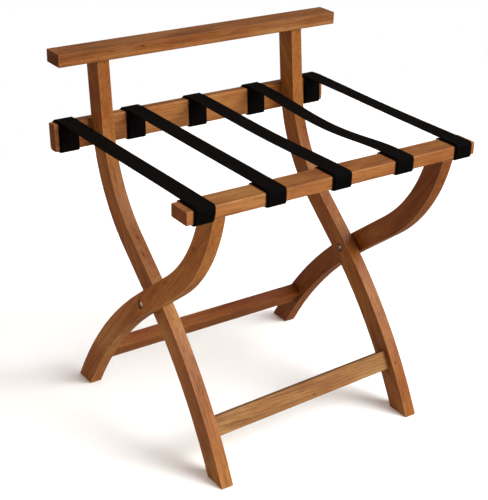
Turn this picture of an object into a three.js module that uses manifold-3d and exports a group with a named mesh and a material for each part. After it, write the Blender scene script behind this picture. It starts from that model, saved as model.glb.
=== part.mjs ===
// Folding luggage rack: two wooden frames that cross on a pair of pivot bolts, with webbing straps
// between their upper rails. Units are millimetres. X runs along the rails, Y from the front rail to
// the back and Z up. The feet stand on Z = 0 and the origin is the middle of the footprint.

import * as THREE from 'three';
import { mergeVertices } from 'three/addons/utils/BufferGeometryUtils.js';
import Module from 'manifold-3d';

const wasm = await Module();
wasm.setup();

// ---- Driving dimensions ----

const GAP = 0.3;                    // clearance between pieces that touch
const RAIL_LENGTH = 600;
const BOARD = 23.5;                 // thickness of the legs, the front rail and the top bar
const FRONT_RAIL = { y: -237, z: 522, depth: 46, height: BOARD, tilt: 0, round: [3, 3, 3, 3] };
const REAR_RAIL = { y: 203, z: 496, depth: 23, height: 51, tilt: -4.25, round: [3, 7, 2.5, 2.5] };
const TOP_BAR = { y: 178, z: 659, depth: 46.5, height: BOARD, tilt: 0, round: [1.5, 1.5, 1.5, 1.5] };

// A leg follows a course down to the floor: a start, a heading in degrees from +Y towards +Z, then
// straights and arcs. A positive turn bends to the left of travel.
const OUTER_LEG = {
  faceX: 251.5,
  width: 40,
  start: [-215.7, FRONT_RAIL.z - GAP],
  heading: -78,
  moves: [{ radius: 300, turn: 39.8 }, { length: 124 }, { radius: 875, turn: -30 }],
};
const INNER_LEG = {
  faceX: 223.5,
  width: 42,
  start: [203.9, TOP_BAR.z - GAP],
  heading: -96.5,
  moves: [{ length: 120 }, { radius: 295, turn: -43.5 }, { length: 100 }, { radius: 885, turn: 30 }],
};
const ARC_STEP = 2.4;               // degrees of arc for each facet of a leg
const LEAD = 20;                    // stock left above a leg's top before it is cut level

// Each stretcher crosses its legs' centrelines at a height on the left and on the right, and reaches
// a distance in front of them and behind them. The front one is fixed a little out of level and
// turned a little steeper than its legs.
const STRETCHER = { width: 35.5, round: 1.5 };
const FRONT_STRETCHER = { leg: INNER_LEG, leftZ: 81.7, rightZ: 91, turn: 2.8, front: 10, back: 10 };
const REAR_STRETCHER = { leg: OUTER_LEG, leftZ: 83, rightZ: 83, turn: 0, front: 10, back: 15 };

const PIVOT = { y: -5, z: 268.3 };
const BOLT = { shank: 6, head: 13.5, headHeight: 3.6, socket: 4, socketDepth: 2.2, tail: 1.4 };
const NUT = { flats: 10, height: 5 };
const WASHER = { diameter: 15.5, thick: 1.2 };
const SPACER = { diameter: 20 };
const COUNTERBORE = { diameter: 17, depth: 6 };

const DOWEL = { diameter: 8, inRail: 12, inLeg: 20, inLegSide: 12, inStretcher: 20 };
const DOWEL_SPREAD = 9;             // each dowel's distance from the middle of its joint
const FRONT_DOWEL_Y = -212.5;
const TOP_DOWEL_Y = 202.5;

const NOTCH_EXTRA = 9;              // how far the rear rail's housing runs past the leg's outer face
const SCREW = { shank: 4, head: 8, headHeight: 3, length: 44, spread: 12 };
const TACK = { shank: 2.4, head: 9, headHeight: 1, length: 14 };

// The webbing goes twice round each rail, the second turn a little to one side of the first, so a
// loop is wider and thicker than the single run between the rails.
const RUN = { width: 35, thick: 1.7 };
const LOOP = { width: 39.5, thick: 3.2 };
const STRAPS = [
  { x: -271.8, sag: 0.5 },
  { x: -135, sag: 0.5 },
  { x: 0, sag: 3 },
  { x: 135, sag: 11 },
  { x: 271.8, sag: 1 },
];

// ---- Materials ----

const finish = (color, roughness, metalness) => new THREE.MeshStandardMaterial({ color, roughness, metalness });
const wood = () => finish(0xa86c38, 0.5, 0);
const beech = () => finish(0xcfa878, 0.7, 0);
const webbing = () => finish(0x0c0b0c, 0.9, 0);
const steel = () => finish(0x5c5a58, 0.35, 1);
const nylon = () => finish(0x2a2320, 0.6, 0);

// ---- Solids ----

const DEG = Math.PI / 180;

function toSolid(geometry) {
  const bare = geometry.clone();
  for (const name of Object.keys(bare.attributes)) {
    if (name !== 'position') bare.deleteAttribute(name);
  }
  const merged = mergeVertices(bare, 1e-4);
  return new wasm.Manifold(new wasm.Mesh({
    numProp: 3,
    vertProperties: new Float32Array(merged.attributes.position.array),
    triVerts: new Uint32Array(merged.index.array),
  }));
}

function toGeometry(solid) {
  const mesh = solid.getMesh();
  const geometry = new THREE.BufferGeometry();
  geometry.setAttribute('position', new THREE.BufferAttribute(new Float32Array(mesh.vertProperties), 3));
  geometry.setIndex(new THREE.BufferAttribute(new Uint32Array(mesh.triVerts), 1));
  geometry.computeVertexNormals();
  return geometry;
}

const without = (geometry, tools) =>
  toGeometry(tools.reduce((rest, tool) => rest.subtract(toSolid(tool)), toSolid(geometry)));
const joined = (geometries) => toGeometry(geometries.map(toSolid).reduce((all, one) => all.add(one)));
const common = (geometry, other) => toGeometry(toSolid(geometry).intersect(toSolid(other)));

// Extrudes an outline drawn in Y and Z along X, centred on x.
function extrudeAlongX(outline, length, x, curveSegments) {
  const geometry = new THREE.ExtrudeGeometry(outline, { depth: length, bevelEnabled: false, curveSegments });
  geometry.translate(0, 0, -length / 2);
  geometry.applyMatrix4(new THREE.Matrix4().set(0, 0, 1, x, 1, 0, 0, 0, 0, 1, 0, 0, 0, 0, 0, 1));
  return geometry;
}

// A body turned about its own axis, which then points along +X. The profile is [axial, radius] pairs.
function turnedAlongX(profile, segments) {
  const points = profile.map(([along, radius]) => new THREE.Vector2(radius, along));
  return new THREE.LatheGeometry(points, segments).rotateZ(-90 * DEG);
}

function rod(diameter, length, segments = 12) {
  return new THREE.CylinderGeometry(diameter / 2, diameter / 2, length, segments).rotateZ(-90 * DEG);
}

// Corner radii run from the front bottom corner: front bottom, back bottom, back top, front top.
function roundedBox(depth, height, [a, b, c, d]) {
  const shape = new THREE.Shape();
  shape.absarc(a, a, a, 180 * DEG, 270 * DEG);
  shape.absarc(depth - b, b, b, 270 * DEG, 360 * DEG);
  shape.absarc(depth - c, height - c, c, 0, 90 * DEG);
  shape.absarc(d, height - d, d, 90 * DEG, 180 * DEG);
  return shape;
}

// ---- Placing ----

function matrixOf(origin, tilt) {
  return new THREE.Matrix4().makeRotationX(tilt * DEG).setPosition(...origin);
}

// The geometry arrives in the rack's frame and is stored about the piece's own origin and tilt.
function addPiece(parent, name, geometry, material, origin, tilt = 0) {
  const mesh = new THREE.Mesh(geometry.applyMatrix4(matrixOf(origin, tilt).invert()), material);
  mesh.name = name;
  mesh.position.set(...origin);
  mesh.rotation.x = tilt * DEG;
  parent.add(mesh);
}

const SIDES = [{ name: 'left', sign: -1 }, { name: 'right', sign: 1 }];
const ENDS = [{ name: 'front', sign: -1 }, { name: 'back', sign: 1 }];

// ---- Legs ----

// Points down one side of a leg's course, offset to the left of travel.
function sidePoints(leg, offset) {
  let heading = leg.heading * DEG;
  const at = new THREE.Vector2(...leg.start).addScaledVector(directionOf(heading), -LEAD);
  const points = [];
  const note = () => points.push(at.clone().addScaledVector(directionOf(heading + 90 * DEG), offset));
  note();
  for (const { length = 0, radius = 0, turn = 0 } of [{ length: LEAD }, ...leg.moves]) {
    const steps = Math.max(1, Math.ceil(Math.abs(turn) / ARC_STEP));
    const swing = (turn * DEG) / steps;
    const chord = radius ? 2 * radius * Math.sin(Math.abs(swing) / 2) : length;
    for (let i = 0; i < steps; i += 1) {
      at.addScaledVector(directionOf(heading + swing / 2), chord);
      heading += swing;
      note();
    }
  }
  return points;
}

function directionOf(heading) {
  return new THREE.Vector2(Math.cos(heading), Math.sin(heading));
}

// Where a leg's centreline passes a height, and its tilt from upright there.
function centreAt(leg, z) {
  const points = sidePoints(leg, 0);
  const next = points.findIndex((point) => point.y < z);
  const [above, below] = [points[next - 1], points[next]];
  const y = above.x + ((above.y - z) / (above.y - below.y)) * (below.x - above.x);
  return { y, z, tilt: Math.atan2(below.x - above.x, above.y - below.y) / DEG };
}

function legBlank(leg, side, { grow = 0, thick = BOARD } = {}) {
  const left = sidePoints(leg, leg.width / 2 + grow);
  const right = sidePoints(leg, -leg.width / 2 - grow);
  const x = side.sign * (leg.faceX - BOARD / 2);
  return extrudeAlongX(new THREE.Shape([...left, ...right.reverse()]), thick, x);
}

function levelled(blank, leg) {
  const height = leg.start[1];
  const slab = new THREE.BoxGeometry(RAIL_LENGTH, RAIL_LENGTH, height).translate(0, 0, height / 2);
  return common(blank, slab);
}

function pivotHoles(leg, side, boredFaceX) {
  const centre = side.sign * (leg.faceX - BOARD / 2);
  const through = rod(BOLT.shank + 2 * GAP, 2 * BOARD).translate(centre, PIVOT.y, PIVOT.z);
  const bore = rod(COUNTERBORE.diameter, 2 * COUNTERBORE.depth, 24);
  return [through, bore.translate(side.sign * boredFaceX, PIVOT.y, PIVOT.z)];
}

function addLeg(parent, name, leg, side, boredFaceX, tools) {
  const blank = levelled(legBlank(leg, side), leg);
  const geometry = without(blank, [...pivotHoles(leg, side, boredFaceX), ...tools]);
  addPiece(parent, `${name}_${side.name}`, geometry, wood(), [side.sign * (leg.faceX - BOARD / 2), PIVOT.y, 0]);
}

// ---- Rails and bars ----

const railOrigin = (rail) => [0, rail.y, rail.z];

// The rail's section in its own place, grown all round by a margin.
function railBody(rail, margin, length, x) {
  const shape = roundedBox(rail.depth + 2 * margin, rail.height + 2 * margin, rail.round.map((r) => r + margin));
  const body = extrudeAlongX(shape, length, x, 3).translate(0, -margin, -margin);
  return body.applyMatrix4(matrixOf(railOrigin(rail), rail.tilt));
}

// A point of a rail given from its front bottom edge, in the rack's frame.
function onRail(rail, y, z) {
  return new THREE.Vector3(0, y, z).applyMatrix4(matrixOf(railOrigin(rail), rail.tilt));
}

function addRail(parent, name, rail, tools) {
  const geometry = without(railBody(rail, 0, RAIL_LENGTH, 0), tools);
  addPiece(parent, name, geometry, wood(), railOrigin(rail), rail.tilt);
}

// The housing in the rear rail that a leg's back edge sits in.
function legHousing(side) {
  const housing = legBlank(INNER_LEG, side, { grow: GAP, thick: BOARD + 2 * GAP + NOTCH_EXTRA });
  return housing.translate((side.sign * NOTCH_EXTRA) / 2, 0, 0);
}

// ---- Dowels ----

// Upright dowels between a leg's top and the rail on it.
function uprightDowels(leg, railZ, middleY, joint) {
  const height = DOWEL.inRail + DOWEL.inLeg;
  const z = railZ + (DOWEL.inRail - DOWEL.inLeg) / 2;
  return SIDES.flatMap((side) => ENDS.map((end) => ({
    name: `${joint}_dowel_${side.name}_${end.name}`,
    at: [side.sign * (leg.faceX - BOARD / 2), middleY + end.sign * DOWEL_SPREAD, z],
    length: height,
    turn: -90,
  })));
}

// Level dowels between a leg's inner face and the end of a stretcher.
function stretcherDowels({ leg, leftZ, rightZ, turn }, joint) {
  const length = DOWEL.inLegSide + DOWEL.inStretcher;
  const x = leg.faceX - BOARD + (DOWEL.inLegSide - DOWEL.inStretcher) / 2;
  return SIDES.flatMap((side) => {
    const centre = centreAt(leg, side.sign < 0 ? leftZ : rightZ);
    const tilt = (centre.tilt + turn) * DEG;
    return ['upper', 'lower'].map((row, index) => {
      const along = (index ? -1 : 1) * DOWEL_SPREAD;
      const at = [side.sign * x, centre.y - along * Math.sin(tilt), centre.z + along * Math.cos(tilt)];
      return { name: `${joint}_dowel_${side.name}_${row}`, at, length, turn: 0 };
    });
  });
}

function dowelBody(dowel, clearance) {
  const body = rod(DOWEL.diameter + 2 * clearance, dowel.length + 2 * clearance);
  return body.rotateY(dowel.turn * DEG).translate(...dowel.at);
}

const dowelHoles = (dowels) => dowels.map((dowel) => dowelBody(dowel, GAP));

function addDowels(parent, dowels) {
  for (const dowel of dowels) addPiece(parent, dowel.name, dowelBody(dowel, 0), beech(), dowel.at);
}

// ---- Stretchers ----

// The bar is made too long, leaned to its two heights, then cut off square to the legs' inner faces.
function addStretcher(parent, name, { leg, leftZ, rightZ, turn, front, back }, dowels) {
  const { width, round } = STRETCHER;
  const [left, right] = [centreAt(leg, leftZ), centreAt(leg, rightZ)];
  const length = 2 * (leg.faceX - BOARD - GAP);
  const rise = Math.sign(rightZ - leftZ) * Math.hypot(right.y - left.y, right.z - left.z);
  const section = roundedBox(front + back, width, [round, round, round, round]);
  const bar = extrudeAlongX(section, length + width, 0, 2).translate(0, -front, -width / 2);
  bar.rotateY(-Math.atan2(rise, length));
  const origin = [0, (left.y + right.y) / 2, (left.z + right.z) / 2];
  const tilt = (left.tilt + right.tilt) / 2 + turn;
  bar.applyMatrix4(matrixOf(origin, tilt));
  const space = new THREE.BoxGeometry(length, 4 * width, 4 * width).translate(...origin);
  addPiece(parent, name, without(common(bar, space), dowelHoles(dowels)), wood(), origin, tilt);
}

// ---- Pivot hardware, stacked along X from the outer leg's counterbore to the inner leg's ----

const boreFloorOut = OUTER_LEG.faceX - COUNTERBORE.depth;
const headSeat = boreFloorOut + WASHER.thick + 2 * GAP;
const nutBoreFace = INNER_LEG.faceX - BOARD;
const boreFloorIn = nutBoreFace + COUNTERBORE.depth;
const nutSeat = boreFloorIn - WASHER.thick - 2 * GAP;

function ring(outer, inner, from, to) {
  const profile = [[from, inner / 2], [from, outer / 2], [to, outer / 2], [to, inner / 2], [from, inner / 2]];
  return turnedAlongX(profile, 18);
}

function hexPrism(flats, length) {
  const corner = flats / Math.sqrt(3);
  return new THREE.CylinderGeometry(corner, corner, length, 6).rotateZ(-90 * DEG);
}

function boltBody() {
  const tip = nutSeat - NUT.height - BOLT.tail;
  const [r, head, top] = [BOLT.shank / 2, BOLT.head / 2, headSeat + BOLT.headHeight];
  const dome = [90, 65, 40, 15].map((angle) => {
    const fraction = Math.sin(angle * DEG);
    return [headSeat + BOLT.headHeight * (0.3 + 0.7 * Math.cos(angle * DEG)), head * fraction];
  });
  const profile = [[tip, 0], [tip, r - 0.6], [tip + 0.6, r], [headSeat, r], [headSeat, head], ...dome, [top, 0]];
  const socket = hexPrism(BOLT.socket, 2 * BOLT.socketDepth).translate(top, 0, 0);
  return without(turnedAlongX(profile, 18), [socket]);
}

function nutBody() {
  const corner = NUT.flats / Math.sqrt(3);
  const [from, to] = [nutSeat - NUT.height, nutSeat];
  const chamfered = [[from, 0], [from, NUT.flats / 2 - 0.4], [from + 0.9, corner], [to, corner], [to, 0]];
  const blank = hexPrism(NUT.flats, NUT.height).translate((from + to) / 2, 0, 0);
  const bore = rod(BOLT.shank + 2 * GAP, 2 * NUT.height).translate(from, 0, 0);
  return without(common(blank, turnedAlongX(chamfered, 18)), [bore]);
}

function addPivot(parent, side) {
  const clear = BOLT.shank + 2 * GAP;
  const pieces = {
    pivot_bolt: [boltBody(), steel()],
    bolt_washer: [ring(WASHER.diameter, clear, boreFloorOut + GAP, headSeat - GAP), steel()],
    pivot_spacer: [ring(SPACER.diameter, clear, INNER_LEG.faceX + GAP, OUTER_LEG.faceX - BOARD - GAP), nylon()],
    nut_washer: [ring(WASHER.diameter, clear, nutSeat + GAP, boreFloorIn - GAP), steel()],
    pivot_nut: [nutBody(), steel()],
  };
  for (const [name, [geometry, material]] of Object.entries(pieces)) {
    const mesh = new THREE.Mesh(geometry, material);
    mesh.name = `${name}_${side.name}`;
    mesh.position.set(0, PIVOT.y, PIVOT.z);
    mesh.rotation.z = side.sign < 0 ? Math.PI : 0;
    parent.add(mesh);
  }
}

// ---- Rear rail screws ----

// Countersunk screws driven from the rail's back into the leg. Along +X of their own frame they
// point at the leg; the turn lays them front to back.
function screwProfile(grow) {
  const [shank, head] = [SCREW.shank / 2 + grow, SCREW.head / 2 + grow];
  const end = SCREW.length + grow;
  return [[-grow, 0], [-grow, head], [SCREW.headHeight, shank], [end - 2, shank], [end, shank / 4], [end, 0]];
}

function screws() {
  return SIDES.flatMap((side) => ['upper', 'lower'].map((row, index) => {
    const z = REAR_RAIL.height / 2 + (index ? -1 : 1) * SCREW.spread;
    const seat = onRail(REAR_RAIL, REAR_RAIL.depth - 1, z);
    const x = side.sign * (INNER_LEG.faceX - BOARD / 2);
    return { name: `rail_screw_${side.name}_${row}`, at: [x, seat.y, seat.z] };
  }));
}

function screwBody(screw, grow) {
  const body = turnedAlongX(screwProfile(grow), 12).rotateZ(-90 * DEG);
  return body.applyMatrix4(matrixOf(screw.at, REAR_RAIL.tilt));
}

// The pocket reaches out through the rail's back face, so that the head sits in an open countersink.
function screwPocket(screw) {
  const mouth = rod(SCREW.head + 2 * GAP, 4, 12).translate(-2, 0, 0).rotateZ(-90 * DEG);
  return [screwBody(screw, GAP), mouth.applyMatrix4(matrixOf(screw.at, REAR_RAIL.tilt))];
}

// ---- Straps and their tacks ----

function strapTacks(rail, label) {
  return STRAPS.map((strap, index) => {
    const under = onRail(rail, rail.depth / 2, -LOOP.thick - 2 * GAP);
    return { name: `${label}_tack_${index + 1}`, at: [strap.x, under.y, under.z], tilt: rail.tilt };
  });
}

function tackBody(tack, grow) {
  const [shank, head] = [TACK.shank / 2 + grow, TACK.head / 2];
  const end = TACK.length + grow;
  const profile = [[-TACK.headHeight, 0], [-TACK.headHeight, head], [0, head], [0, shank], [end, shank], [end, 0]];
  return turnedAlongX(profile, 10).rotateY(-90 * DEG).applyMatrix4(matrixOf(tack.at, tack.tilt));
}

// The run between the rails hangs in a shallow parabola.
function strapRun(strap) {
  const start = onRail(FRONT_RAIL, FRONT_RAIL.depth - 3, FRONT_RAIL.height + GAP);
  const end = onRail(REAR_RAIL, 3, REAR_RAIL.height + GAP);
  const low = (start.z + end.z) / 2 - 2 * strap.sag;
  const middle = (start.y + end.y) / 2;
  const run = new THREE.Shape();
  run.moveTo(start.y, start.z);
  run.quadraticCurveTo(middle, low, end.y, end.z);
  run.lineTo(end.y, end.z + RUN.thick);
  run.quadraticCurveTo(middle, low + RUN.thick, start.y, start.z + RUN.thick);
  return extrudeAlongX(run, RUN.width, strap.x, 10);
}

function addStrap(parent, strap, index, tacks) {
  const loops = [FRONT_RAIL, REAR_RAIL].map((rail) => railBody(rail, GAP + LOOP.thick, LOOP.width, strap.x));
  const hollows = [FRONT_RAIL, REAR_RAIL].map((rail) => railBody(rail, GAP, LOOP.width + 2, strap.x));
  const holes = tacks.map((tack) => tackBody(tack, GAP));
  const band = without(joined([...loops, strapRun(strap)]), [...hollows, ...holes]);
  addPiece(parent, `strap_${index + 1}`, band, webbing(), [strap.x, 0, FRONT_RAIL.z + FRONT_RAIL.height]);
}

// ---- Assembly ----

function buildOuterFrame() {
  const frame = new THREE.Group();
  const railDowels = uprightDowels(OUTER_LEG, FRONT_RAIL.z, FRONT_DOWEL_Y, 'front_rail');
  const barDowels = stretcherDowels(REAR_STRETCHER, 'rear_stretcher');
  const tacks = strapTacks(FRONT_RAIL, 'front');
  addRail(frame, 'front_rail', FRONT_RAIL, [...dowelHoles(railDowels), ...tacks.map((tack) => tackBody(tack, GAP))]);
  for (const side of SIDES) {
    addLeg(frame, 'outer_leg', OUTER_LEG, side, OUTER_LEG.faceX, dowelHoles([...railDowels, ...barDowels]));
    addPivot(frame, side);
  }
  addStretcher(frame, 'rear_stretcher', REAR_STRETCHER, barDowels);
  addDowels(frame, [...railDowels, ...barDowels]);
  for (const tack of tacks) addPiece(frame, tack.name, tackBody(tack, 0), steel(), tack.at);
  return frame;
}

function buildInnerFrame() {
  const frame = new THREE.Group();
  const barDowels = uprightDowels(INNER_LEG, TOP_BAR.z, TOP_DOWEL_Y, 'top_bar');
  const stretcherPegs = stretcherDowels(FRONT_STRETCHER, 'front_stretcher');
  const tacks = strapTacks(REAR_RAIL, 'rear');
  const pockets = screws().flatMap(screwPocket);
  const railTools = [...SIDES.map(legHousing), ...pockets, ...tacks.map((tack) => tackBody(tack, GAP))];
  addRail(frame, 'top_bar', TOP_BAR, dowelHoles(barDowels));
  addRail(frame, 'rear_rail', REAR_RAIL, railTools);
  for (const side of SIDES) {
    const tools = [...dowelHoles([...barDowels, ...stretcherPegs]), ...pockets];
    addLeg(frame, 'inner_leg', INNER_LEG, side, nutBoreFace, tools);
  }
  addStretcher(frame, 'front_stretcher', FRONT_STRETCHER, stretcherPegs);
  addDowels(frame, [...barDowels, ...stretcherPegs]);
  for (const screw of screws()) addPiece(frame, screw.name, screwBody(screw, 0), steel(), screw.at);
  for (const tack of tacks) addPiece(frame, tack.name, tackBody(tack, 0), steel(), tack.at, tack.tilt);
  return frame;
}

function buildStraps() {
  const straps = new THREE.Group();
  const [front, rear] = [strapTacks(FRONT_RAIL, 'front'), strapTacks(REAR_RAIL, 'rear')];
  STRAPS.forEach((strap, index) => addStrap(straps, strap, index, [front[index], rear[index]]));
  return straps;
}

const rack = new THREE.Group();
rack.add(buildOuterFrame(), buildInnerFrame(), buildStraps());

export default rack;
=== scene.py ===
"""Folding luggage rack: stained wood frames, black webbing and steel pivots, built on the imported
frame. Units are metres. X runs along the rails, Y from the front rail to the back, Z up."""

import math

import bpy
import numpy as np
from mathutils import Matrix, Vector


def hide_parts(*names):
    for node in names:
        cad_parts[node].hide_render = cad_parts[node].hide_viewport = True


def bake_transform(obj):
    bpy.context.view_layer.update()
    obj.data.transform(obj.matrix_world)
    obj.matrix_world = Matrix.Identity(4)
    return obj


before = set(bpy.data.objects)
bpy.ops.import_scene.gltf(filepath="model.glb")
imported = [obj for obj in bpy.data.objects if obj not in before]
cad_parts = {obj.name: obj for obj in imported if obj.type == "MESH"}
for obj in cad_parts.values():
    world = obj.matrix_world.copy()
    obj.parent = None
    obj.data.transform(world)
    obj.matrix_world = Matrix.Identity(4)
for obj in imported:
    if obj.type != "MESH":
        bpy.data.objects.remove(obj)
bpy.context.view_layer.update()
scene = bpy.context.scene
MM = 0.001

# ---- Camera, light and floor ----

CAMERA = {
    "place": (-1.19837, -1.66817, 1.29626),
    "azimuth": -35.78,
    "elevation": 26.06,
    "roll": 1.92,
    "lens": 87.86,
    "shift": (-0.0255, 0.0184),
}
# Each lamp is a wide, distant softbox: where it stands (azimuth, elevation), strength, spread in
# degrees, tint.
LAMPS = {
    "overhead_softbox": ((20, 78), 0.95, 75, (0.94, 1.0, 1.12)),
    "front_softbox": ((32, 20), 4.4, 50, (0.95, 0.97, 0.90)),
    "high_softbox": ((43, 40), 1.8, 32, (0.98, 1.0, 1.02)),
    "left_reflector": ((-95, 8), 1.1, 70, (1.0, 0.64, 0.26)),
    "back_fill": ((140, 20), 0.8, 60, (1.0, 0.95, 0.88)),
}
GLOSSY_LAMPS = ("overhead_softbox", "high_softbox", "left_reflector")
ROOM_LIGHT = 0.22
ROOM_TINT = (1.0, 0.76, 0.56, 1)
FLOOR_SPAN = ((-1.1, -2.6), (2.6, 1.4))
FLOOR_DROP = 0.3 * MM
FLOOR_COLOR = (0.94, 0.955, 0.985, 1)


def direction(azimuth, elevation):
    """From the rack towards something that stands at this azimuth and elevation in degrees."""
    a, e = math.radians(azimuth), math.radians(elevation)
    return Vector((math.sin(a) * math.cos(e), -math.cos(a) * math.cos(e), math.sin(e)))


def make_camera():
    back = direction(CAMERA["azimuth"], CAMERA["elevation"])
    azimuth = math.radians(CAMERA["azimuth"])
    right = Vector((math.cos(azimuth), math.sin(azimuth), 0))
    up = back.cross(right)
    turn = Matrix.Rotation(math.radians(CAMERA["roll"]), 3, back)
    data = bpy.data.cameras.new("camera")
    data.lens = CAMERA["lens"]
    data.shift_x, data.shift_y = CAMERA["shift"]
    data.clip_end = 100
    camera = bpy.data.objects.new("camera", data)
    axes = Matrix((turn @ right, turn @ up, back)).transposed()
    camera.matrix_world = Matrix.Translation(CAMERA["place"]) @ axes.to_4x4()
    scene.collection.objects.link(camera)
    scene.camera = camera


def make_lamps():
    for name, (place, strength, spread, tint) in LAMPS.items():
        data = bpy.data.lights.new(name, "SUN")
        data.energy = strength
        data.angle = math.radians(spread)
        data.color = tint
        lamp = bpy.data.objects.new(name, data)
        lamp.rotation_mode = "QUATERNION"
        lamp.rotation_quaternion = direction(*place).to_track_quat("Z", "Y")
        lamp.visible_glossy = name in GLOSSY_LAMPS
        scene.collection.objects.link(lamp)


def make_room():
    """A dim warm room light, with white behind everything."""
    world = bpy.data.worlds.new("room")
    world.use_nodes = True
    tree = world.node_tree
    seen = tree.nodes.new("ShaderNodeLightPath").outputs["Is Camera Ray"]
    backdrop = tree.nodes.new("ShaderNodeBackground")
    room = tree.nodes["Background"]
    room.inputs["Color"].default_value = ROOM_TINT
    room.inputs["Strength"].default_value = ROOM_LIGHT
    backdrop.inputs["Color"].default_value = (1, 1, 1, 1)
    pick = tree.nodes.new("ShaderNodeMixShader")
    tree.links.new(seen, pick.inputs[0])
    tree.links.new(room.outputs[0], pick.inputs[1])
    tree.links.new(backdrop.outputs[0], pick.inputs[2])
    tree.links.new(pick.outputs[0], tree.nodes["World Output"].inputs["Surface"])
    scene.world = world
    scene.view_settings.view_transform = "Standard"


def make_floor():
    (left, front), (right, back) = FLOOR_SPAN
    corners = [(left, front), (right, front), (right, back), (left, back)]
    mesh = bpy.data.meshes.new("floor")
    mesh.from_pydata([(x, y, -FLOOR_DROP) for x, y in corners], [], [(0, 1, 2, 3)])
    floor = bpy.data.objects.new("floor", mesh)
    material = bpy.data.materials.new("floor")
    material.use_nodes = True
    shader = material.node_tree.nodes["Principled BSDF"]
    shader.inputs["Base Color"].default_value = FLOOR_COLOR
    shader.inputs["Roughness"].default_value = 0.9
    shader.inputs["Specular IOR Level"].default_value = 0.1
    mesh.materials.append(material)
    floor.visible_glossy = False
    scene.collection.objects.link(floor)


# ---- Node helpers ----


class Graph:
    """A material's node tree, with short calls that return sockets."""

    def __init__(self, name):
        self.material = bpy.data.materials.new(name)
        self.material.use_nodes = True
        self.tree = self.material.node_tree
        self.shader = self.tree.nodes["Principled BSDF"]

    def put(self, socket, value):
        if isinstance(value, bpy.types.NodeSocket):
            self.tree.links.new(value, socket)
        else:
            socket.default_value = value

    def node(self, kind, inputs, **settings):
        made = self.tree.nodes.new(kind)
        for key, value in settings.items():
            setattr(made, key, value)
        for key, value in inputs.items():
            self.put(made.inputs[key], value)
        return made

    def maths(self, operation, *values):
        made = self.node("ShaderNodeMath", dict(enumerate(values)), operation=operation)
        return made.outputs[0]

    def vector(self, operation, *values, output="Vector"):
        made = self.node("ShaderNodeVectorMath", dict(enumerate(values)), operation=operation)
        return made.outputs[output]

    def scaled(self, value, scales):
        return self.vector("MULTIPLY", value, scales)

    def noise(self, at, detail=2.0, rough=0.5, output="Fac"):
        inputs = {"Vector": at, "Scale": 1.0, "Detail": detail, "Roughness": rough}
        return self.node("ShaderNodeTexNoise", inputs).outputs[output]

    def step(self, value, low, high):
        """0 below low and 1 above high, smooth in between. With low above high it falls instead."""
        inputs = {"Value": value, "From Min": low, "From Max": high}
        made = self.node("ShaderNodeMapRange", inputs, interpolation_type="SMOOTHSTEP")
        return made.outputs["Result"]

    def mix(self, factor, a, b, blend="MIX"):
        inputs = {0: factor, 6: a, 7: b}
        made = self.node("ShaderNodeMix", inputs, data_type="RGBA", blend_type=blend)
        return made.outputs[2]

    def shade(self, factor, color, tone):
        """The colour multiplied by a tone, as far as factor says."""
        return self.mix(factor, color, self.mix(1.0, color, tone, "MULTIPLY"))

    def ramp(self, value, stops):
        made = self.node("ShaderNodeValToRGB", {"Fac": value})
        elements = made.color_ramp.elements
        while len(elements) < len(stops):
            elements.new(0.5)
        for element, (place, color) in zip(elements, stops):
            element.position = place
            element.color = color
        return made.outputs["Color"]

    def bump(self, height, distance, strength=1.0):
        inputs = {"Height": height, "Distance": distance, "Strength": strength}
        bumped = self.node("ShaderNodeBump", inputs).outputs["Normal"]
        self.put(self.shader.inputs["Normal"], bumped)

    def set(self, **values):
        """Shader sockets by name, with an underscore for each space."""
        for key, value in values.items():
            self.put(self.shader.inputs[key.replace("_", " ")], value)


# ---- Wood ----

TAN = (0.320, 0.150, 0.049, 1)
HONEY = (0.263, 0.102, 0.029, 1)
RUSSET = (0.210, 0.067, 0.017, 1)
# The pale colour of the eased edges: partly bare wood where the stain is worn, partly a painted
# highlight.
WORN_AND_HIGHLIGHT = (0.62, 0.40, 0.22, 1)
EDGE_WEAR_AND_HIGHLIGHT = 0.2                     # how far the eased edges are lightened: partly rubbed-off stain, partly a painted highlight
# Tones that multiply the wood's colour.
LATE_TONE = (0.50, 0.42, 0.36, 1)
STREAK_TONE = (0.70, 0.63, 0.58, 1)
FIBRE_TONE = (0.82, 0.78, 0.75, 1)
DASH_TONE = (0.74, 0.66, 0.60, 1)
PORE_TONE = (0.42, 0.34, 0.28, 1)
END_TONE = (0.62, 0.52, 0.46, 1)
RING = 3.4 * MM                     # one year's growth
SEED_STEP = Vector((0.71, 0.13, 0.29))
KNOT = (0.28, 0.21, 0.19)
HALO = (0.84, 0.73, 0.66)
STREAK = (0.44, 0.35, 0.30)
# A tone of painted light: it brightens the upper and middle outer face of the left outer leg.
PAINTED_LIGHT_TONE = (1.17, 1.22, 1.03)
SAPWOOD = (1.30, 1.44, 1.50)
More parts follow.
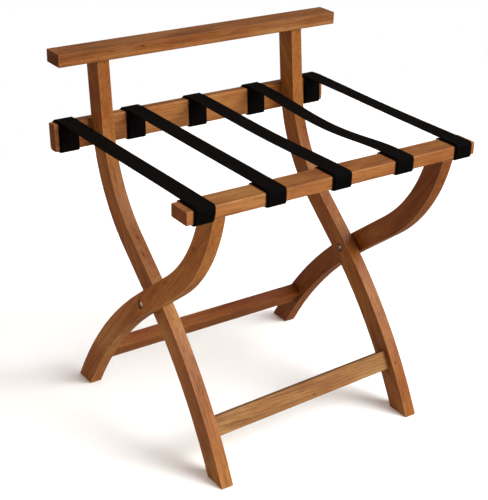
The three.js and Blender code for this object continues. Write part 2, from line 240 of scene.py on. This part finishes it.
# Marks in single boards: the middle, the reach along, across and through the grain, the tone that
# darkens or lightens the wood, and the share of the reach within which it is at full strength.
MARKS = {
    "top_bar": [
        ((0.000, 0.178, 0.6590), (0.900, 0.0095, 0.0120), SAPWOOD, 0.88),
        ((-0.134, 0.178, 0.6755), (0.007, 0.0014, 0.0040), KNOT, 0.45),
        ((-0.198, 0.178, 0.6742), (0.010, 0.0014, 0.0040), STREAK, 0.45),
        ((0.060, 0.178, 0.6730), (0.014, 0.0011, 0.0040), STREAK, 0.45),
    ],
    "rear_rail": [
        ((-0.036, 0.204, 0.5220), (0.014, 0.0012, 0.0040), STREAK, 0.45),
        ((-0.028, 0.204, 0.5290), (0.010, 0.0010, 0.0040), STREAK, 0.45),
    ],
    "front_stretcher": [
        ((0.018, -0.177, 0.0820), (0.005, 0.0016, 0.0040), KNOT, 0.45),
        ((-0.150, -0.177, 0.0800), (0.040, 0.0090, 0.0120), HALO, 0.45),
    ],
    "outer_leg_left": [
        ((-0.2515, -0.180, 0.4490), (0.003, 0.0026, 0.0040), KNOT, 0.45),
        ((-0.2515, -0.180, 0.4490), (0.012, 0.0060, 0.0060), HALO, 0.45),
        ((-0.2515, -0.093, 0.3510), (0.013, 0.0018, 0.0040), STREAK, 0.45),
        ((-0.2515, -0.060, 0.3240), (0.060, 0.0050, 0.0040), HALO, 0.45),
        ((-0.2445, -0.2245, 0.4790), (0.010, 0.0030, 0.0012), STREAK, 0.45),
        # Painted light: the upper and middle outer face is lightened, so the foot end stays darker.
        ((-0.2515, -0.115, 0.3900), (0.210, 0.0900, 0.0060), PAINTED_LIGHT_TONE, 0.60),
        ((-0.2515, 0.1085, 0.1315), (0.0035, 0.0030, 0.0040), KNOT, 0.45),
        ((-0.2400, 0.1100, 0.1275), (0.0012, 0.0060, 0.0130), STREAK, 0.45),
    ],
    "inner_leg_left": [
        ((-0.2118, 0.070, 0.3600), (0.004, 0.0030, 0.0020), KNOT, 0.45),
        ((-0.2118, 0.070, 0.3600), (0.016, 0.0080, 0.0050), HALO, 0.45),
        ((-0.2150, 0.043, 0.3380), (0.005, 0.0030, 0.0018), KNOT, 0.45),
        ((-0.2150, 0.043, 0.3380), (0.020, 0.0080, 0.0045), HALO, 0.45),
    ],
    "inner_leg_right": [
        ((0.2090, -0.1835, 0.0935), (0.004, 0.0030, 0.0020), KNOT, 0.45),
        ((0.2171, -0.1190, 0.1819), (0.030, 0.0080, 0.0040), HALO, 0.45),
    ],
}


def board_axes(grain):
    """Rows that turn the rack's axes into along the grain, across the board and through it."""
    along = Vector(grain).normalized()
    through = Vector((0, 1, 0)) if abs(along.x) > 0.9 else Vector((1, 0, 0))
    across = through.cross(along).normalized()
    return Matrix((along, across, through))


def wood(name, grain, heart, stain, seed, wear_and_highlight=0.0):
    """Stained hardwood. heart is where the tree's middle lies, across the grain and through. Noise
    scales are per metre, along the grain, across it and through."""
    g = Graph(name)
    axes = board_axes(grain)
    coords = g.node("ShaderNodeTexCoord", {})
    placed = {"Vector": coords.outputs["Object"], "Rotation": axes.to_euler()}
    shifted = {**placed, "Location": SEED_STEP * seed}
    p = g.node("ShaderNodeMapping", shifted).outputs["Vector"]
    local = g.node("ShaderNodeMapping", placed).outputs["Vector"]

    wander = g.noise(g.scaled(p, (2.2, 9, 9)), 2, 0.5, "Color")
    wander = g.scaled(g.vector("SUBTRACT", wander, (0.5, 0.5, 0.5)), (0, 0.022, 0.022))
    from_heart = g.vector("SUBTRACT", g.vector("ADD", local, wander), (0, *heart))
    radius = g.vector("LENGTH", g.scaled(from_heart, (0.02, 1, 1)), output="Value")
    uneven = g.maths("MULTIPLY", g.noise(g.scaled(p, (1.2, 45, 45)), 1), 1.6)
    season = g.maths("FRACT", g.maths("ADD", g.maths("DIVIDE", radius, RING), uneven))
    late = g.maths("MULTIPLY", g.step(season, 0.25, 0.85), g.step(season, 1.0, 0.9))

    blotch = g.noise(g.scaled(p, (5, 16, 16)), 2, 0.55)
    streak = g.noise(g.scaled(p, (7, 260, 260)), 3, 0.6)
    fibre = g.noise(g.scaled(p, (26, 820, 820)), 2, 0.6)
    dash = g.step(g.noise(g.scaled(p, (32, 430, 430)), 2, 0.5), 0.50, 0.68)
    pore = g.step(g.noise(g.scaled(p, (75, 1500, 1500)), 1, 0.4), 0.60, 0.70)
    facing = g.vector("DOT_PRODUCT", coords.outputs["Normal"], tuple(axes[0]), output="Value")
    end_grain = g.step(g.maths("ABSOLUTE", facing), 0.80, 0.97)

    color = g.ramp(blotch, [(0.30, RUSSET), (0.50, HONEY), (0.70, TAN)])
    color = g.shade(g.maths("MULTIPLY", late, 0.34), color, LATE_TONE)
    color = g.shade(g.step(streak, 0.42, 0.72), color, STREAK_TONE)
    color = g.shade(g.step(fibre, 0.35, 0.70), color, FIBRE_TONE)
    color = g.shade(g.maths("MULTIPLY", dash, 0.7), color, DASH_TONE)
    color = g.shade(g.maths("MULTIPLY", pore, 0.55), color, PORE_TONE)
    color = g.shade(end_grain, color, END_TONE)
    color = g.mix(1.0, color, (*stain, 1), "MULTIPLY")
    for centre, reach, tone, core in MARKS.get(name.removesuffix("_edge"), ()):
        offset = g.vector("SUBTRACT", local, axes @ Vector(centre))
        away = g.vector("LENGTH", g.vector("DIVIDE", offset, reach), output="Value")
        color = g.shade(g.step(away, 1.0, core), color, (*tone, 1))
    # Eased edges are mixed towards a pale colour: partly worn stain, partly a painted highlight.
    if wear_and_highlight:
        color = g.mix(wear_and_highlight, color, WORN_AND_HIGHLIGHT)

    rough = g.maths("ADD", g.maths("MULTIPLY", streak, 0.18), g.maths("MULTIPLY", pore, 0.15))
    height = g.maths("SUBTRACT", g.maths("MULTIPLY", fibre, 0.25), g.maths("MULTIPLY", pore, 0.6))
    height = g.maths("SUBTRACT", height, g.maths("MULTIPLY", late, 0.2))
    g.set(Base_Color=color, Roughness=g.maths("ADD", rough, 0.31), Specular_IOR_Level=0.2)
    g.bump(height, 0.12 * MM, 0.6)
    return g.material


# Legs are sawn from straight planks, so the grain follows the line from the top of the leg to its
# foot and runs out through the curves.
ACROSS = (1, 0, 0)
OUTER_CHORD = (0, 0.434, -0.522)
INNER_CHORD = (0, -0.416, -0.659)
# Each board's grain, the place of its heart, stain and seed.
BOARDS = {
    "top_bar": (ACROSS, (0.100, 0.190), (0.76, 0.71, 0.70), 1),
    "front_rail": (ACROSS, (0.500, -0.150), (1.06, 1.06, 1.04), 2),
    "rear_rail": (ACROSS, (0.470, 0.300), (1.0, 0.94, 0.86), 3),
    "front_stretcher": (ACROSS, (0.060, -0.100), (0.86, 1.01, 1.10), 4),
    "rear_stretcher": (ACROSS, (0.140, 0.080), (0.69, 0.49, 0.25), 5),
    "outer_leg_left": (OUTER_CHORD, (0.120, -0.540), (1.08, 1.04, 0.82), 6),
    # The right outer leg's stain is darker: partly the board's own tone, partly painted shade for
    # its shaded inner face.
    "outer_leg_right": (OUTER_CHORD, (0.110, 0.600), (0.74, 0.60, 0.48), 7),
    "inner_leg_left": (INNER_CHORD, (-0.200, -0.560), (1.01, 1.00, 0.87), 8),
    "inner_leg_right": (INNER_CHORD, (-0.210, 0.520), (0.92, 0.82, 0.60), 9),
}
BOARD_EDGE = (0.6 * MM, 40)         # the width of an eased edge and the least angle that is eased
METAL_EDGE = (0.2 * MM, 35)
WELD_REACH = 0.02 * MM
FLAT_ANGLE = 0.3
UNMERGED = ("front_rail", "rear_rail")          # merged flats fold over between these boards' holes


def ease_edges(obj, edge, merge_flats=True):
    """Welds the loaded facets, then rounds the sawn edges."""
    width, angle = edge
    weld = obj.modifiers.new("weld", "WELD")
    weld.merge_threshold = WELD_REACH
    if merge_flats:
        flat = obj.modifiers.new("flat", "DECIMATE")
        flat.decimate_type = "DISSOLVE"
        flat.angle_limit = math.radians(FLAT_ANGLE)
    bevel = obj.modifiers.new("eased", "BEVEL")
    bevel.width = width
    bevel.segments = 2
    bevel.limit_method = "ANGLE"
    bevel.angle_limit = math.radians(angle)
    bevel.use_clamp_overlap = False
    # The bevels take the last material; for boards that is the lightened edge wood, worn stain plus
    # a painted highlight.
    bevel.material = len(obj.data.materials) - 1
    normals = obj.modifiers.new("normals", "WEIGHTED_NORMAL")
    normals.keep_sharp = True


def smooth(obj):
    for face in obj.data.polygons:
        face.use_smooth = True


def finish_boards():
    for name, (grain, heart, stain, seed) in BOARDS.items():
        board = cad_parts[name]
        board.data.materials.clear()
        board.data.materials.append(wood(name, grain, heart, stain, seed))
        # The edge material for the bevels is lightened: worn stain plus a painted highlight.
        board.data.materials.append(wood(name + "_edge", grain, heart, stain, seed, EDGE_WEAR_AND_HIGHLIGHT))
        smooth(board)
        ease_edges(board, BOARD_EDGE, merge_flats=name not in UNMERGED)


# ---- Hardware and dowels ----

BRIGHT_STEEL, DULL_STEEL = (0.62, 0.61, 0.60, 1), (0.34, 0.32, 0.30, 1)
DARK_NYLON, PALE_NYLON = (0.022, 0.018, 0.016, 1), (0.045, 0.038, 0.034, 1)
PALE_BEECH, DARK_BEECH = (0.62, 0.42, 0.24, 1), (0.46, 0.28, 0.14, 1)


def steel():
    g = Graph("plated_steel")
    at = g.node("ShaderNodeTexCoord", {}).outputs["Object"]
    scratches = g.noise(g.scaled(at, (900, 2600, 2600)), 3, 0.6)
    tarnish = g.noise(g.scaled(at, (260, 260, 260)), 3, 0.6)
    color = g.mix(g.step(tarnish, 0.45, 0.7), BRIGHT_STEEL, DULL_STEEL)
    rough = g.maths("ADD", g.maths("MULTIPLY", scratches, 0.25), 0.2)
    g.set(Base_Color=color, Metallic=1.0, Roughness=rough)
    g.bump(scratches, 0.02 * MM, 0.4)
    return g.material


def nylon():
    g = Graph("spacer_nylon")
    at = g.node("ShaderNodeTexCoord", {}).outputs["Object"]
    grain = g.noise(g.scaled(at, (1800, 1800, 1800)), 2)
    rough = g.maths("ADD", g.maths("MULTIPLY", grain, 0.2), 0.45)
    g.set(Base_Color=g.mix(grain, DARK_NYLON, PALE_NYLON), Roughness=rough)
    g.bump(grain, 0.03 * MM, 0.4)
    return g.material


def beech():
    g = Graph("beech")
    at = g.node("ShaderNodeTexCoord", {}).outputs["Object"]
    flecks = g.noise(g.scaled(at, (500, 900, 900)), 3)
    color = g.mix(g.step(flecks, 0.4, 0.7), PALE_BEECH, DARK_BEECH)
    g.set(Base_Color=color, Roughness=g.maths("ADD", g.maths("MULTIPLY", flecks, 0.2), 0.6))
    g.bump(flecks, 0.04 * MM, 0.5)
    return g.material


def finish_hardware():
    finishes = {
        "hardware_steel": (steel(), ("bolt", "washer", "nut", "tack", "screw")),
        "spacer_nylon": (nylon(), ("spacer",)),
        "dowel_wood": (beech(), ("dowel",)),
    }
    for slot, (material, words) in finishes.items():
        for name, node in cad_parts.items():
            if any(word in name for word in words):
                node.data.materials.clear()
                node.data.materials.append(material)
                smooth(node)
                ease_edges(node, METAL_EDGE)


# ---- Webbing straps ----

WEB_WIDTH = 35.5 * MM
WEB_THICK = 1.5 * MM
FIRST_TURN = 0.25 * MM + WEB_THICK / 2          # middle of the webbing's thickness from the rail
SECOND_TURN = FIRST_TURN + WEB_THICK + 0.3 * MM
STEP_LENGTH = 3.2 * MM              # the longest step along a rail's side
CORNER_STEPS = 6
SIDESTEP = 1.6 * MM                 # how far each turn of a loop lies from the loop's middle
SIDESTEP_LENGTH = 18 * MM           # the stretch of webbing in which it moves from one to the other
CUT_END = 5 * MM                    # the webbing starts this far down a rail's near face
SLACK = (0.5 * MM, 1.3 * MM)        # how far each turn hangs below the rail
LEG_FACE = 251.9 * MM               # under the front rail the end loops stay outside this
LEG_REACH = 14 * MM                 # and move out to it over this height
END_LOOPS = 200 * MM                # loops further from the rack's middle than this pass a leg
NEAR, UNDER, LAST_CORNER = 0, 1, 3.5            # sides of a rail, see once_round
RUN_POINTS = 96
SHARP_ANGLE = 50
STRAPS = {
    # the loops' middles on the front and rear rails, sag, and roll in degrees, left edge up
    "strap_1": {"front": -268.8 * MM, "rear": -273.7 * MM, "sag": 0.4 * MM, "roll": 0.5},
    "strap_2": {"front": -133.7 * MM, "rear": -135.6 * MM, "sag": 0.4 * MM, "roll": -0.4},
    "strap_3": {"front": -0.3 * MM, "rear": -0.4 * MM, "sag": 3.0 * MM, "roll": 0.8},
    "strap_4": {"front": 135.0 * MM, "rear": 135.5 * MM, "sag": 11.2 * MM, "roll": 3.5},
    "strap_5": {"front": 270.8 * MM, "rear": 273.3 * MM, "sag": 0.8 * MM, "roll": 3.0},
}
# Section of each rail that carries webbing, in millimetres: its front bottom edge in Y and Z, its
# sides, its tilt in degrees, and its corner radii, front to back underneath and back again on top.
FRONT_RAIL = {
    "edge": (-237, 522),
    "depth": 46,
    "height": 23.5,
    "tilt": 0,
    "round": (3, 3, 3, 3),
}
REAR_RAIL = {
    "edge": (203, 496),
    "depth": 23,
    "height": 51,
    "tilt": -4.25,
    "round": (3, 7, 2.5, 2.5),
}


def ease(t):
    """0 up to 0 and 1 from 1 on, smooth in between."""
    t = min(1.0, max(0.0, t))
    return t * t * (3 - 2 * t)


def once_round(depth, height, radii):
    """Round a rail's section from the top of its near face, by way of the bottom and the far face,
    to the near face again: (point, outward normal, side, share of that side) for each step. Points
    are (away from the near face, up). Sides 0 to 3 are near, bottom, far and top; each corner is
    half a step on."""
    low, far_low, far_top, top = radii
    corners = [
        ((low, low), low, 180),
        ((depth - far_low, far_low), far_low, 270),
        ((depth - far_top, height - far_top), far_top, 0),
        ((top, height - top), top, 90),
    ]
    at = np.array((0, height - top))
    steps = []
    for side, (centre, radius, first) in enumerate(corners):
        outward = np.array((math.cos(math.radians(first)), math.sin(math.radians(first))))
        begin = np.array(centre) + radius * outward
        pieces = math.ceil(np.linalg.norm(begin - at) / STEP_LENGTH)
        for i in range(1, pieces):
            steps.append((at + (begin - at) * i / pieces, outward, side, i / pieces))
        for i in range(CORNER_STEPS + 1):
            angle = math.radians(first + 90 / CORNER_STEPS * i)
            outward = np.array((math.cos(angle), math.sin(angle)))
            place = np.array(centre) + radius * outward
            steps.append((place, outward, side + 0.5, i / CORNER_STEPS))
        at = np.array(centre) + radius * outward
    return steps


def wrap(rail, front, middle):
    """Two turns of webbing round a rail, from its cut end to where the run leaves the top: points
    in the rack's frame and outward normals."""
    depth, height = rail["depth"] * MM, rail["height"] * MM
    low, back_low, back_top, top = (r * MM for r in rail["round"])
    radii = (back_low, low, top, back_top) if front else (low, back_low, back_top, top)
    turn = once_round(depth, height, radii)
    face_top = height - radii[3]
    first = [step for step in turn if step[2] != NEAR or step[0][1] <= face_top - CUT_END]
    second = [step for step in turn if step[2] != LAST_CORNER]
    second.append(next(step for step in turn if step[2] == LAST_CORNER))
    points, normals = [], []
    for number, steps in enumerate((first, second)):
        for at, outward, side, share in steps:
            off = SECOND_TURN if number else FIRST_TURN
            shift = SIDESTEP if number else -SIDESTEP
            if number == 0 and side == LAST_CORNER:
                off += (SECOND_TURN - FIRST_TURN) * ease(share)
            if number == 1 and side == NEAR:
                shift = SIDESTEP * (2 * ease((face_top - at[1]) / SIDESTEP_LENGTH) - 1)
            if side == UNDER:
                off += SLACK[number] * math.sin(math.pi * share) ** 2
            x = middle + shift
            if front and abs(x) > END_LOOPS:
                overlap = max(0.0, LEG_FACE - (abs(x) - WEB_WIDTH / 2))
                x += math.copysign(overlap, x) * ease(1 - at[1] / LEG_REACH)
            a, z = at + outward * off
            points.append((x, *to_rack(rail, front, a, z)))
            normals.append(to_rack(rail, front, *outward, turn_only=True))
    return points, normals


def to_rack(rail, front, a, z, turn_only=False):
    """Y and Z in the rack's frame of a point of a rail's section, or of a direction."""
    y = -a if front else a
    if front and not turn_only:
        y += rail["depth"] * MM
    c, s = math.cos(math.radians(rail["tilt"])), math.sin(math.radians(rail["tilt"]))
    turned = (y * c - z * s, y * s + z * c)
    if turn_only:
        return turned
    return (turned[0] + rail["edge"][0] * MM, turned[1] + rail["edge"][1] * MM)


def run_between(start, end, sag):
    """Points of the run from the front rail's top to the rear rail's."""
    points = []
    for i in range(1, RUN_POINTS):
        t = i / RUN_POINTS
        x = start[0] + (end[0] - start[0]) * ease(t)
        y = start[1] + (end[1] - start[1]) * t
        z = start[2] + (end[2] - start[2]) * t - sag * math.sin(math.pi * t ** 0.85) ** 2
        points.append((x, y, z))
    return points


def web_section():
    """The webbing's section as (across, up), top and bottom: flat, with thicker selvedges."""
    half, flat, bead = WEB_WIDTH / 2, WEB_THICK / 2 - 0.06 * MM, WEB_THICK / 2 + 0.04 * MM
    rim = [(half, 0.0), (half - 0.2 * MM, 0.55 * bead), (half - 0.8 * MM, bead)]
    rim += [(half - 1.7 * MM, bead), (half - 2.6 * MM, flat)]
    right = rim + [((half - 2.6 * MM) * k / 4, flat) for k in (3, 2, 1)]
    top = [(-u, h) for u, h in right] + [(0.0, flat)] + right[::-1]
    return top, [(u, -h) for u, h in top[1:-1]][::-1]


def strap_mesh(name, spec):
    """One strap as a closed band, with its width and its length as UV in metres."""
    front_points, front_normals = wrap(FRONT_RAIL, True, spec["front"])
    rear_points, rear_normals = wrap(REAR_RAIL, False, spec["rear"])
    run = run_between(front_points[-1], rear_points[-1], spec["sag"])
    points = np.array(front_points + run + rear_points[::-1])
    slopes = np.gradient(points[:, 1:], axis=0)
    slopes /= np.linalg.norm(slopes, axis=1)[:, None]
    normals = np.stack([-slopes[:, 1], slopes[:, 0]], axis=1)
    normals[: len(front_normals) - 1] = front_normals[:-1]
    normals[len(points) - len(rear_normals) + 1:] = rear_normals[::-1][1:]
    rolls = np.zeros(len(points))
    swell = np.sin(np.pi * np.arange(1, RUN_POINTS) / RUN_POINTS)
    rolls[len(front_points): len(front_points) + len(run)] = swell * math.radians(spec["roll"])
    steps = np.linalg.norm(np.diff(points, axis=0), axis=1)
    along = np.concatenate([[0], np.cumsum(steps)])

    top, bottom = web_section()
    ring = top + bottom
    size = len(ring)
    vertices = []
    for centre, normal, roll in zip(points, normals, rolls):
        c, s = math.cos(roll), math.sin(roll)
        side = np.array((c, -s * normal[0], -s * normal[1]))
        up = np.array((s, c * normal[0], c * normal[1]))
        vertices += [centre + side * u + up * h for u, h in ring]
    faces = []
    for row in range(len(points) - 1):
        for i in range(size):
            j = (i + 1) % size
            a, b = row * size, (row + 1) * size
            faces.append((a + i, a + j, b + j, b + i))
    for base, backwards in ((0, True), ((len(points) - 1) * size, False)):
        for i in range(len(top) - 1):
            under = [(size - i) % size, size - i - 1]
            loop = [base + i, base + i + 1, base + under[1], base + under[0]]
            if i == 0:
                loop = [base, base + 1, base + size - 1]
            if i == len(top) - 2:
                loop = [base + i, base + i + 1, base + under[0]]
            faces.append(tuple(loop[::-1] if backwards else loop))
    mesh = bpy.data.meshes.new(name)
    mesh.from_pydata([tuple(v) for v in vertices], [], faces)
    uv = mesh.uv_layers.new(name="web")
    for loop in mesh.loops:
        row, i = divmod(loop.vertex_index, size)
        uv.data[loop.index].uv = (ring[i][0] + WEB_WIDTH / 2, along[row])
    mesh.update()
    return mesh


RIB_WIDTH = 1.42 * MM
PICK_LENGTH = 2.5 * MM
GAP_BLACK = (0.0006, 0.0005, 0.0005, 1)
YARN_BLACK = (0.0026, 0.0022, 0.0022, 1)
WORN_BLACK = (0.0038, 0.0034, 0.0035, 1)


def webbing():
    """Black woven webbing: ribs along it, whose yarns pass over by turns."""
    g = Graph("black_webbing")
    uv = g.node("ShaderNodeUVMap", {}, uv_map="web").outputs["UV"]
    parts = g.node("ShaderNodeSeparateXYZ", {"Vector": uv}).outputs
    column = g.maths("DIVIDE", parts["X"], RIB_WIDTH)
    odd = g.maths("MODULO", g.maths("FLOOR", column), 2.0)
    row = g.maths("DIVIDE", parts["Y"], PICK_LENGTH)
    row = g.maths("ADD", row, g.maths("MULTIPLY", odd, 0.5))
    rib = g.step(g.maths("PINGPONG", column, 0.5), 0.0, 0.42)
    over = g.step(g.maths("PINGPONG", row, 0.5), 0.0, 0.30)
    yarn = g.maths("MULTIPLY", rib, over)
    fuzz = g.noise(g.scaled(uv, (2600, 1500, 1)), 3, 0.6)
    wear = g.step(g.noise(g.scaled(uv, (60, 22, 1)), 3, 0.6), 0.45, 0.75)
    color = g.mix(yarn, GAP_BLACK, YARN_BLACK)
    color = g.mix(g.maths("MULTIPLY", wear, 0.5), color, WORN_BLACK)
    rough = g.maths("ADD", g.maths("MULTIPLY", fuzz, 0.2), 0.62)
    g.set(Base_Color=color, Roughness=rough, Specular_IOR_Level=0.045)
    g.bump(g.maths("ADD", yarn, g.maths("MULTIPLY", fuzz, 0.25)), 0.28 * MM, 0.8)
    return g.material


def make_straps():
    material = webbing()
    for name, spec in STRAPS.items():
        mesh = strap_mesh(name + "_webbing", spec)
        mesh.materials.append(material)
        mesh.polygons.foreach_set("use_smooth", [True] * len(mesh.polygons))
        mesh.set_sharp_from_angle(angle=math.radians(SHARP_ANGLE))
        strap = bpy.data.objects.new(name + "_webbing", mesh)
        scene.collection.objects.link(strap)
        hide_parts(name)
        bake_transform(strap)


make_camera()
make_lamps()
make_room()
make_floor()
finish_boards()
finish_hardware()
make_straps()
